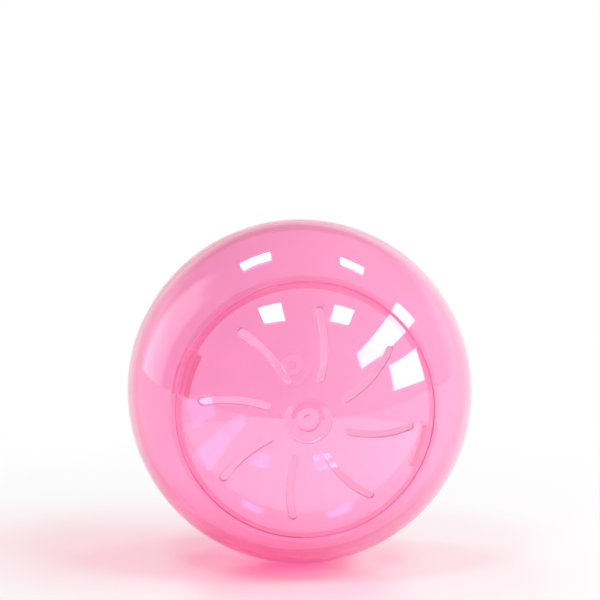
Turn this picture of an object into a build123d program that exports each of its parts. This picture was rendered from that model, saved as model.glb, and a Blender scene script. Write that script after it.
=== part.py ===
from build123d import *

import os
from math import cos, radians, sin, sqrt

# A small-animal exercise ball: two half shells lapped together at the equator, and a vented
# lid that closes a round door in the front half. Millimetres and degrees.
# The ball's axis is Y, the lid faces -Y, +Z is up and the origin is the centre of the ball.
# Profiles are drawn as (radius from the axis, height from the equator towards the pole).
# Angles round the axis are seen from in front of the lid, counter-clockwise from +X.

# Ball
ball_diameter = 120.0
wall = 1.8

# Lap joint at the equator: a spigot on the front half, a socket in the back half
lap_depth = 5.0
lap_clearance = 0.12
lap_end_gap = 0.4
lap_lead_in = 0.4
spigot_wall = 1.5
spigot_root_height = 2.2
spigot_taper_height = 3.4
bead_radius = 0.8
bead_height = 0.3
bead_clearance = 0.15
seam_gap = 0.1
seam_edge_radius = 0.3

# Lid and the door that it closes
lid_diameter = 87.6
lid_rim_gap = 0.25
lid_rim_width = 2.3
lid_rim_depth = 2.8
lid_seat_gap = 0.1
lid_edge_radius = 0.4
door_edge_radius = 0.4
ledge_thickness = 1.6
ledge_gap = 0.3

# Bayonet: two hooks under the lid, which pass two notches in the ledge and turn under it
hook_angle = -17.5
hook_span = 21.0
hook_wall = 1.8
hook_reach = 2.3
hook_thickness = 1.6
hook_play = 0.25
notch_side_play = 1.5
notch_radial_play = 0.35
lock_turn = 30.0
stop_span = 2.5

# Vents: a ring of curved slots in the lid
vent_count = 8
vent_width = 2.4
vent_hub_margin = 6.2
vent_hook_margin = 4.1
vent_outer_angle = -7.4
vent_lag = 10.0
vent_bow = 1.5
vent_edge_radius = 0.3

# Hub at each pole, with the moulding gate at its centre
hub_recess_radius = 8.2
hub_recess_depth = 0.5
hub_ring_radius = 5.6
hub_ring_width = 1.5
hub_dish_depth = 2.0
hub_pad_radius = 7.4
hub_pad_depth = 1.4
gate_radius = 1.4
gate_height = 1.2
hub_edge_radius = 0.15

# Room that a cut runs past the material
overrun = 5.0

# Sizes that follow
outer_radius = ball_diameter / 2
inner_radius = outer_radius - wall
half_turn = 180.0


def height_on(sphere_radius, radius):
    """Height of a sphere's surface above the equator, at a radius from the axis."""
    return sqrt(sphere_radius**2 - radius**2)


def on_circle(radius, angle):
    """Point at a radius and an angle round the axis, in a sketch."""
    return (radius * cos(radians(angle)), radius * sin(radians(angle)))


# Sections through the axis, with their heights towards the lid and away from it
front_section = Plane((0, 0, 0), x_dir=(1, 0, 0), z_dir=(0, 0, -1))
back_section = Plane.XY

# Lap joint
seam_radius = height_on(outer_radius, seam_gap)
socket_radius = height_on(inner_radius, lap_depth)
spigot_radius = socket_radius - lap_clearance
spigot_inner_radius = spigot_radius - spigot_wall
spigot_length = lap_depth - lap_end_gap
spigot_taper_radius = height_on(inner_radius, spigot_taper_height)
bead_place = spigot_length / 2
bead_centre_radius = spigot_radius + bead_height - bead_radius

# Door
lid_radius = lid_diameter / 2
door_radius = lid_radius + lid_rim_gap
lid_rim_inner_radius = lid_radius - lid_rim_width
lid_rim_bottom = height_on(outer_radius, lid_radius) - lid_rim_depth
seat_height = lid_rim_bottom - lid_seat_gap
ledge_radius = lid_rim_inner_radius
ledge_bottom = seat_height - ledge_thickness
ledge_root_radius = height_on(inner_radius, ledge_bottom)

# Bayonet
hook_outer_radius = ledge_radius - ledge_gap
hook_inner_radius = hook_outer_radius - hook_wall
lug_radius = hook_outer_radius + hook_reach
lug_top = ledge_bottom - hook_play
lug_bottom = lug_top - hook_thickness
mid_wall_radius = outer_radius - wall / 2
notch_radius = lug_radius + notch_radial_play
notch_span = hook_span + 2 * notch_side_play
hook_angles = (hook_angle, hook_angle + half_turn)
stop_angle = hook_angle - hook_span / 2 - lock_turn

# Vents, between the hub and the hooks
vent_inner_radius = hub_recess_radius + vent_hub_margin
vent_outer_radius = hook_inner_radius - vent_hook_margin

# Hub
hub_dish_radius = hub_ring_radius - hub_ring_width
hub_recess_floor = height_on(outer_radius, hub_recess_radius) - hub_recess_depth
hub_dish_floor = outer_radius - hub_dish_depth
hub_pad_floor = inner_radius - hub_pad_depth


def section_at(angle):
    """Section through the axis at an angle round it."""
    across = (cos(radians(angle)), 0, sin(radians(angle)))
    normal = (sin(radians(angle)), 0, -cos(radians(angle)))
    return Plane((0, 0, 0), x_dir=across, z_dir=normal)


def draw_box(low_radius, high_radius, low_height, high_height):
    """Draw a rectangle between two radii and two heights in the open section sketch."""
    with Locations((low_radius, low_height)):
        Rectangle(high_radius - low_radius, high_height - low_height, align=(Align.MIN, Align.MIN))


def draw_vents():
    """Draw the ring of curved slots in the open sketch."""
    inner_end = on_circle(vent_inner_radius, vent_outer_angle - vent_lag)
    outer_end = on_circle(vent_outer_radius, vent_outer_angle)
    with BuildLine(mode=Mode.PRIVATE) as spine:
        SagittaArc(inner_end, outer_end, -vent_bow)
    with PolarLocations(0, vent_count):
        SlotArc(spine.edge(), vent_width)


def draw_hub_recess():
    """Draw half of the trough round the hub's ring and of the dish inside it."""
    draw_box(hub_ring_radius, hub_recess_radius, hub_recess_floor, outer_radius)
    draw_box(gate_radius, hub_dish_radius, hub_dish_floor, outer_radius)
    draw_box(0, gate_radius, hub_dish_floor + gate_height, outer_radius)


def hub_edges(edges):
    """The round edges of a hub, which are the only small circles near a pole."""
    return [edge for edge in edges.filter_by(GeomType.CIRCLE) if edge.radius <= hub_recess_radius]


# Front half: a hemisphere with the door, its ledge and the spigot
with BuildPart() as front_shell:
    with BuildSketch(front_section) as front_profile:
        with BuildLine():
            RadiusArc(
                (seam_radius, seam_gap),
                (door_radius, height_on(outer_radius, door_radius)),
                -outer_radius,
            )
            Polyline(
                (door_radius, height_on(outer_radius, door_radius)),
                (door_radius, seat_height),
                (ledge_radius, seat_height),
                (ledge_radius, ledge_bottom),
                (ledge_root_radius, ledge_bottom),
            )
            RadiusArc(
                (ledge_root_radius, ledge_bottom),
                (spigot_taper_radius, spigot_taper_height),
                inner_radius,
            )
            Polyline(
                (spigot_taper_radius, spigot_taper_height),
                (spigot_inner_radius, spigot_root_height),
                (spigot_inner_radius, -spigot_length),
                (spigot_radius, -spigot_length),
                (spigot_radius, seam_gap),
                (seam_radius, seam_gap),
            )
        make_face()
        fillet(front_profile.vertices().group_by(Axis.Y)[-1], radius=door_edge_radius)
        fillet(front_profile.vertices().group_by(Axis.X)[-1], radius=seam_edge_radius)
        chamfer(front_profile.vertices().group_by(Axis.Y)[0], length=lap_lead_in)
    revolve(axis=Axis.Y)
    with BuildSketch(front_section):
        with Locations((bead_centre_radius, -bead_place)):
            Circle(bead_radius)
    revolve(axis=Axis.Y)
    for angle in hook_angles:
        with BuildSketch(section_at(angle + notch_span / 2)):
            draw_box(ledge_radius - overrun, notch_radius, ledge_bottom - overrun, seat_height + overrun)
        revolve(axis=Axis.Y, revolution_arc=notch_span, mode=Mode.SUBTRACT)
    for turn in (0, half_turn):
        with BuildSketch(section_at(stop_angle + turn)):
            draw_box(ledge_radius, ledge_root_radius, lug_bottom, ledge_bottom)
        revolve(axis=Axis.Y, revolution_arc=stop_span)
front_shell.part.label = "front_shell"

# Back half: a hemisphere with the socket and a hub
with BuildPart() as back_shell:
    with BuildSketch(back_section) as back_profile:
        with BuildLine():
            RadiusArc((outer_radius, 0), (0, outer_radius), -outer_radius)
            Line((0, outer_radius), (0, inner_radius))
            RadiusArc((0, inner_radius), (socket_radius, lap_depth), inner_radius)
            Polyline((socket_radius, lap_depth), (socket_radius, 0), (outer_radius, 0))
        make_face()
        fillet(back_profile.vertices().group_by(Axis.X)[-1], radius=seam_edge_radius)
    revolve(axis=Axis.Y)
    with BuildSketch(back_section):
        with Locations((bead_centre_radius, bead_place)):
            Circle(bead_radius + bead_clearance)
    revolve(axis=Axis.Y, mode=Mode.SUBTRACT)
    with BuildSketch(back_section):
        draw_box(0, hub_pad_radius, hub_pad_floor, inner_radius)
    revolve(axis=Axis.Y)
    with BuildSketch(back_section):
        draw_hub_recess()
    revolve(axis=Axis.Y, mode=Mode.SUBTRACT)
    fillet(hub_edges(back_shell.edges()), radius=hub_edge_radius)
back_shell.part.label = "back_shell"

# Lid: a cap of the same sphere with a thick rim, the vents, a hub and two bayonet hooks
with BuildPart() as lid:
    with BuildSketch(front_section) as lid_profile:
        with BuildLine():
            RadiusArc(
                (lid_radius, height_on(outer_radius, lid_radius)),
                (0, outer_radius),
                -outer_radius,
            )
            Line((0, outer_radius), (0, inner_radius))
            RadiusArc(
                (0, inner_radius),
                (lid_rim_inner_radius, height_on(inner_radius, lid_rim_inner_radius)),
                inner_radius,
            )
            Polyline(
                (lid_rim_inner_radius, height_on(inner_radius, lid_rim_inner_radius)),
                (lid_rim_inner_radius, lid_rim_bottom),
                (lid_radius, lid_rim_bottom),
                (lid_radius, height_on(outer_radius, lid_radius)),
            )
        make_face()
        fillet(lid_profile.vertices().group_by(Axis.X)[-1], radius=lid_edge_radius)
    revolve(axis=Axis.Y)
    with BuildSketch(front_section):
        draw_box(0, hub_pad_radius, hub_pad_floor, inner_radius)
    revolve(axis=Axis.Y)
    with BuildSketch(front_section):
        draw_hub_recess()
    revolve(axis=Axis.Y, mode=Mode.SUBTRACT)
    fillet(hub_edges(lid.edges()), radius=hub_edge_radius)
    with BuildSketch(Plane.XZ):
        draw_vents()
    extrude(amount=outer_radius, mode=Mode.SUBTRACT)
    skins = lid.faces().filter_by(GeomType.SPHERE).sort_by(SortBy.AREA)[-2:]
    slots = [wire for skin in skins for wire in skin.inner_wires() if len(wire.edges()) > 1]
    fillet([edge for slot in slots for edge in slot.edges()], radius=vent_edge_radius)
    for angle in hook_angles:
        with BuildSketch(section_at(angle + hook_span / 2)):
            with BuildLine():
                Polyline(
                    (hook_inner_radius, lug_bottom),
                    (lug_radius, lug_bottom),
                    (lug_radius, lug_top),
                    (hook_outer_radius, lug_top),
                    (hook_outer_radius, height_on(mid_wall_radius, hook_outer_radius)),
                    (hook_inner_radius, height_on(mid_wall_radius, hook_inner_radius)),
                    close=True,
                )
            make_face()
        revolve(axis=Axis.Y, revolution_arc=hook_span)
lid.part.label = "lid"

os.makedirs("parts", exist_ok=True)
for piece in (front_shell, back_shell, lid):
    export_step(piece.part, f"parts/{piece.part.label}.step")
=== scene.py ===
from math import cos, pi, radians, sin

import bpy
from mathutils import Matrix, Vector


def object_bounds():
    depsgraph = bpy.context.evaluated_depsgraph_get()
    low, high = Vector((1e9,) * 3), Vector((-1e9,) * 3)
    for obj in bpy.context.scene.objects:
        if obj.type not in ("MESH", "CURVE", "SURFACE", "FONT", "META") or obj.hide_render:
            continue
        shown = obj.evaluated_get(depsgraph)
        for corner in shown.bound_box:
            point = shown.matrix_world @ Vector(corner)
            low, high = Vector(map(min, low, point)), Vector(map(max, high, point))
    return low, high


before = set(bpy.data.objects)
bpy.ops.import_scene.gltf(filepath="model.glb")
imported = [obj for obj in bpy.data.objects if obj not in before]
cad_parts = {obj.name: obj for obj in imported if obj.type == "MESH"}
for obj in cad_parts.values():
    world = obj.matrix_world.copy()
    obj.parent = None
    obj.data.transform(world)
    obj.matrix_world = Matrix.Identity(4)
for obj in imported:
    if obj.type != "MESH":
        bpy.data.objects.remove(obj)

# The ball, from model.glb: metres, with its axis along Y, the lid towards -Y and +Z up
cad_low, cad_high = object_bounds()
ball_centre = (cad_low + cad_high) / 2
ball_radius = (cad_high.x - cad_low.x) / 2
floor_height = cad_low.z

# Camera: where it stands as seen from the ball, and where the ball lies in its picture, in pixels
camera_azimuth = radians(-2.8)
camera_elevation = radians(9.4)
camera_distance = 1.667
sensor_width = 36
image_width = 600
ball_column = 299.5
ball_row = 391
ball_radius_pixels = 172

# Plastic: its tints, its dye per metre of depth and its clearness
pale_tint = (1.0, 0.76, 0.9, 1)
deep_tint = (1.0, 0.7, 0.87, 1)
shadow_tint = (1.0, 0.78, 0.87, 1)
dye_tint = (0.97, 0.0, 0.55, 1)
dye_density = 158.0
plastic_ior = 1.59
clear_share = 0.82

# Flow lines, which the moulding leaves from the hub outwards
flow_scale = 1.6
flow_detail = 3.0
flow_change_along_axis = 9.0

# Handling marks, which are a little less polished
mark_scale = 45.0
mark_detail = 4.0
mark_noise = (0.4, 0.75)
mark_roughness = (0.02, 0.09)

# Waviness of a thin moulding
wave_scale = 60.0
wave_detail = 1.0
wave_strength = 0.25
wave_depth = 0.0003

# Floor: a sheet of paper, pale near the ball and an even white further from it.
# It ends a little in front of the ball, and goes on far behind it.
floor_front = 0.43
floor_back = 6.0
floor_width = 12.0
floor_colour = (0.88, 0.87, 0.88, 1)
floor_roughness = 0.3
white_strength = 1.0
white_distances = (0.07, 0.28)

# Room: dim, with a low white backdrop behind the ball and a pale doorway on its left.
# Its edges are soft steps of a direction's parts, from the first number to the second.
room_strength = 0.25
backdrop_strength = 1.0
backdrop_side = (0.3, 0.7)
backdrop_top = (0.47, 0.22)
doorway_strength = 1.25
doorway_heading = (-0.85, 0.53, 0)
doorway_edge = (0.955, 0.99)
doorway_top = (0.75, 0.55)

# Ceiling panels: to the right of the ball, in front of it, width and depth
panel_height = 1.5
panel_radiance = 13.5
panels = (
    (-0.52, 0.74, 0.4, 0.42),
    (0.74, 0.75, 0.4, 0.42),
    (-0.51, -0.68, 0.4, 0.28),
    (0.7, -0.58, 0.36, 0.22),
)

# Window panes in a wall on the right: in front of the ball, above it, width and height
wall_distance = 1.5
window_radiance = 9.0
panes = (
    (0.65, 1.065, 2.1, 0.45),
    (0.42, 0.34, 0.76, 0.42),
)

# Fill light on the floor, from a distance in front of the ball's centre to the floor's front edge
fill_near = 0.055
fill_width = 0.5
fill_lift = 0.0002
fill_radiance = 0.8


def make_camera():
    """The photograph's camera, aimed so that the ball lies where it does in the picture."""
    towards = Vector((
        sin(camera_azimuth) * cos(camera_elevation),
        -cos(camera_azimuth) * cos(camera_elevation),
        sin(camera_elevation),
    ))
    right = Vector((cos(camera_azimuth), sin(camera_azimuth), 0))
    up = towards.cross(right)
    metres_per_pixel = ball_radius / ball_radius_pixels
    aside = (image_width / 2 - ball_column) * metres_per_pixel
    above = (ball_row - image_width / 2) * metres_per_pixel
    aim = ball_centre + right * aside + up * above
    data = bpy.data.cameras.new("camera")
    data.sensor_fit = "HORIZONTAL"
    data.sensor_width = sensor_width
    data.lens = sensor_width * camera_distance / (metres_per_pixel * image_width)
    camera = bpy.data.objects.new("camera", data)
    camera.location = ball_centre + towards * camera_distance
    camera.rotation_euler = (aim - camera.location).to_track_quat("-Z", "Y").to_euler()
    bpy.context.scene.collection.objects.link(camera)
    bpy.context.scene.camera = camera


def new_material(name):
    """A new material and its node tree, without nodes."""
    material = bpy.data.materials.new(name)
    material.use_nodes = True
    material.node_tree.nodes.clear()
    return material, material.node_tree


def add_node(tree, kind, inputs, **settings):
    """A new node of a kind. Each of its inputs is a value, or a socket to link."""
    node = tree.nodes.new("ShaderNode" + kind)
    for name, setting in settings.items():
        setattr(node, name, setting)
    for name, value in inputs.items():
        if isinstance(value, bpy.types.NodeSocket):
            tree.links.new(value, node.inputs[name])
        else:
            node.inputs[name].default_value = value
    return node


def calculate(tree, operation, first, second):
    """Two numbers or sockets through a math node."""
    return add_node(tree, "Math", {0: first, 1: second}, operation=operation).outputs["Value"]


def soft_step(tree, source, limits):
    """A smooth step from 0 at the first limit to 1 at the second."""
    inputs = {"Value": source, "From Min": limits[0], "From Max": limits[1]}
    step = add_node(tree, "MapRange", inputs, interpolation_type="SMOOTHSTEP")
    return step.outputs["Result"]


def flow_line_colour(tree, place):
    """Tint that changes with the direction round the ball's axis, and little along it."""
    across = add_node(tree, "VectorMath", {0: place, 1: (1, 0, 1)}, operation="MULTIPLY")
    turn = add_node(tree, "VectorMath", {0: across.outputs["Vector"]}, operation="NORMALIZE")
    change = (flow_change_along_axis, flow_change_along_axis, flow_change_along_axis)
    inputs = {0: place, 1: change, 2: turn.outputs["Vector"]}
    line = add_node(tree, "VectorMath", inputs, operation="MULTIPLY_ADD")
    inputs = {"Vector": line.outputs["Vector"], "Scale": flow_scale, "Detail": flow_detail}
    flow = add_node(tree, "TexNoise", inputs)
    inputs = {"Factor": flow.outputs["Fac"], "A": deep_tint, "B": pale_tint}
    return add_node(tree, "Mix", inputs, data_type="RGBA").outputs["Result"]


def handling_mark_roughness(tree, place):
    """Roughness with soft patches that are a little less polished."""
    marks = add_node(tree, "TexNoise", {"Vector": place, "Scale": mark_scale, "Detail": mark_detail})
    inputs = {
        "Value": marks.outputs["Fac"],
        "From Min": mark_noise[0],
        "From Max": mark_noise[1],
        "To Min": mark_roughness[0],
        "To Max": mark_roughness[1],
    }
    return add_node(tree, "MapRange", inputs).outputs["Result"]


def wavy_normal(tree, place):
    """Normal of a surface that is slightly wavy."""
    wave = add_node(tree, "TexNoise", {"Vector": place, "Scale": wave_scale, "Detail": wave_detail})
    inputs = {"Height": wave.outputs["Fac"], "Strength": wave_strength, "Distance": wave_depth}
    return add_node(tree, "Bump", inputs).outputs["Normal"]


def pink_plastic():
    """See-through pink plastic, a deeper pink where light goes a longer way through it."""
    material, tree = new_material("pink_plastic")
    place = add_node(tree, "TexCoord", {}).outputs["Object"]
    shell = add_node(tree, "BsdfPrincipled", {
        "Base Color": flow_line_colour(tree, place),
        "Roughness": handling_mark_roughness(tree, place),
        "Normal": wavy_normal(tree, place),
        "IOR": plastic_ior,
        "Transmission Weight": clear_share,
    })
    # Light that falls through the plastic on something else goes straight, and takes a tint
    clear = add_node(tree, "BsdfTransparent", {"Color": shadow_tint})
    path = add_node(tree, "LightPath", {}).outputs
    straight = calculate(tree, "MAXIMUM", path["Is Shadow Ray"], path["Is Diffuse Ray"])
    surface = add_node(tree, "MixShader", {
        "Fac": straight,
        1: shell.outputs["BSDF"],
        2: clear.outputs["BSDF"],
    })
    dye = add_node(tree, "VolumeAbsorption", {"Color": dye_tint, "Density": dye_density})
    add_node(tree, "OutputMaterial", {
        "Surface": surface.outputs["Shader"],
        "Volume": dye.outputs["Volume"],
    })
    return material


def floor_paper():
    """Pale paper, which keeps the ball's shadow and is seen as an even white further off."""
    material, tree = new_material("floor_paper")
    paper = add_node(tree, "BsdfPrincipled", {
        "Base Color": floor_colour,
        "Roughness": floor_roughness,
    })
    white = add_node(tree, "Emission", {"Strength": white_strength})
    place = add_node(tree, "NewGeometry", {}).outputs["Position"]
    distance = add_node(tree, "VectorMath", {0: place}, operation="LENGTH").outputs["Value"]
    path = add_node(tree, "LightPath", {}).outputs
    seen = calculate(tree, "MAXIMUM", path["Is Camera Ray"], path["Is Glossy Ray"])
    seen = calculate(tree, "MAXIMUM", seen, path["Is Transmission Ray"])
    share = calculate(tree, "MULTIPLY", soft_step(tree, distance, white_distances), seen)
    surface = add_node(tree, "MixShader", {
        "Fac": share,
        1: paper.outputs["BSDF"],
        2: white.outputs["Emission"],
    })
    add_node(tree, "OutputMaterial", {"Surface": surface.outputs["Shader"]})
    return material


def make_floor():
    """The sheet that the ball stands on."""
    middle = ball_centre.y + (floor_back - floor_front) / 2
    bpy.ops.mesh.primitive_plane_add(size=1, location=(ball_centre.x, middle, floor_height))
    floor = bpy.context.object
    floor.name = "floor"
    floor.scale = (floor_width, floor_back + floor_front, 1)
    floor.data.materials.append(floor_paper())


def make_room():
    """The room as a world: dim, with the backdrop and the doorway."""
    world = bpy.data.worlds.new("room")
    bpy.context.scene.world = world
    world.use_nodes = True
    tree = world.node_tree
    direction = add_node(tree, "TexCoord", {}).outputs["Generated"]
    parts = add_node(tree, "SeparateXYZ", {"Vector": direction}).outputs
    behind = soft_step(tree, parts["Y"], backdrop_side)
    low = soft_step(tree, parts["Z"], backdrop_top)
    backdrop = calculate(tree, "MULTIPLY", behind, low)
    backdrop = calculate(tree, "MULTIPLY", backdrop, backdrop_strength - room_strength)

    level = add_node(tree, "VectorMath", {0: direction, 1: (1, 1, 0)}, operation="MULTIPLY")
    heading = add_node(tree, "VectorMath", {0: level.outputs["Vector"]}, operation="NORMALIZE")
    inputs = {0: heading.outputs["Vector"], 1: doorway_heading}
    facing = add_node(tree, "VectorMath", inputs, operation="DOT_PRODUCT").outputs["Value"]
    open_wide = soft_step(tree, facing, doorway_edge)
    open_high = soft_step(tree, parts["Z"], doorway_top)
    doorway = calculate(tree, "MULTIPLY", open_wide, open_high)
    doorway = calculate(tree, "MULTIPLY", doorway, doorway_strength)

    total = calculate(tree, "ADD", calculate(tree, "ADD", backdrop, doorway), room_strength)
    # The background is white where it is seen straight, or through the plastic
    path = add_node(tree, "LightPath", {}).outputs
    seen = calculate(tree, "MAXIMUM", path["Is Camera Ray"], path["Is Transmission Ray"])
    total = calculate(tree, "MAXIMUM", total, seen)
    background = tree.nodes["Background"]
    background.inputs["Color"].default_value = (1, 1, 1, 1)
    tree.links.new(total, background.inputs["Strength"])


def make_lamp(name, place, facing, across, width, height, radiance):
    """A rectangular soft lamp at a place from the ball, with its width across."""
    back = -facing
    data = bpy.data.lights.new(name, "AREA")
    data.shape = "RECTANGLE"
    data.size = width
    data.size_y = height
    data.energy = radiance * pi * width * height
    lamp = bpy.data.objects.new(name, data)
    turn = Matrix((across, back.cross(across), back)).transposed()
    lamp.matrix_world = Matrix.Translation(ball_centre + place) @ turn.to_4x4()
    bpy.context.scene.collection.objects.link(lamp)
    return lamp


def make_lamps():
    """The ceiling panels, the window panes and the fill light, which is not seen by itself."""
    right = Vector((1, 0, 0))
    rearward = Vector((0, 1, 0))
    up = Vector((0, 0, 1))
    for number, (aside, front, width, depth) in enumerate(panels):
        place = right * aside - rearward * front + up * panel_height
        make_lamp(f"panel_{number}", place, -up, right, width, depth, panel_radiance)
    for number, (front, above, width, height) in enumerate(panes):
        place = right * wall_distance - rearward * front + up * above
        make_lamp(f"pane_{number}", place, -right, rearward, width, height, window_radiance)
    place = up * (fill_lift - ball_radius) - rearward * (fill_near + floor_front) / 2
    depth = floor_front - fill_near
    fill = make_lamp("fill", place, up, right, fill_width, depth, fill_radiance)
    fill.visible_camera = False


make_camera()
make_floor()
make_room()
make_lamps()

plastic = pink_plastic()
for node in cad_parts.values():
    node.data.materials[0] = plastic

bpy.context.scene.view_settings.view_transform = "Standard"
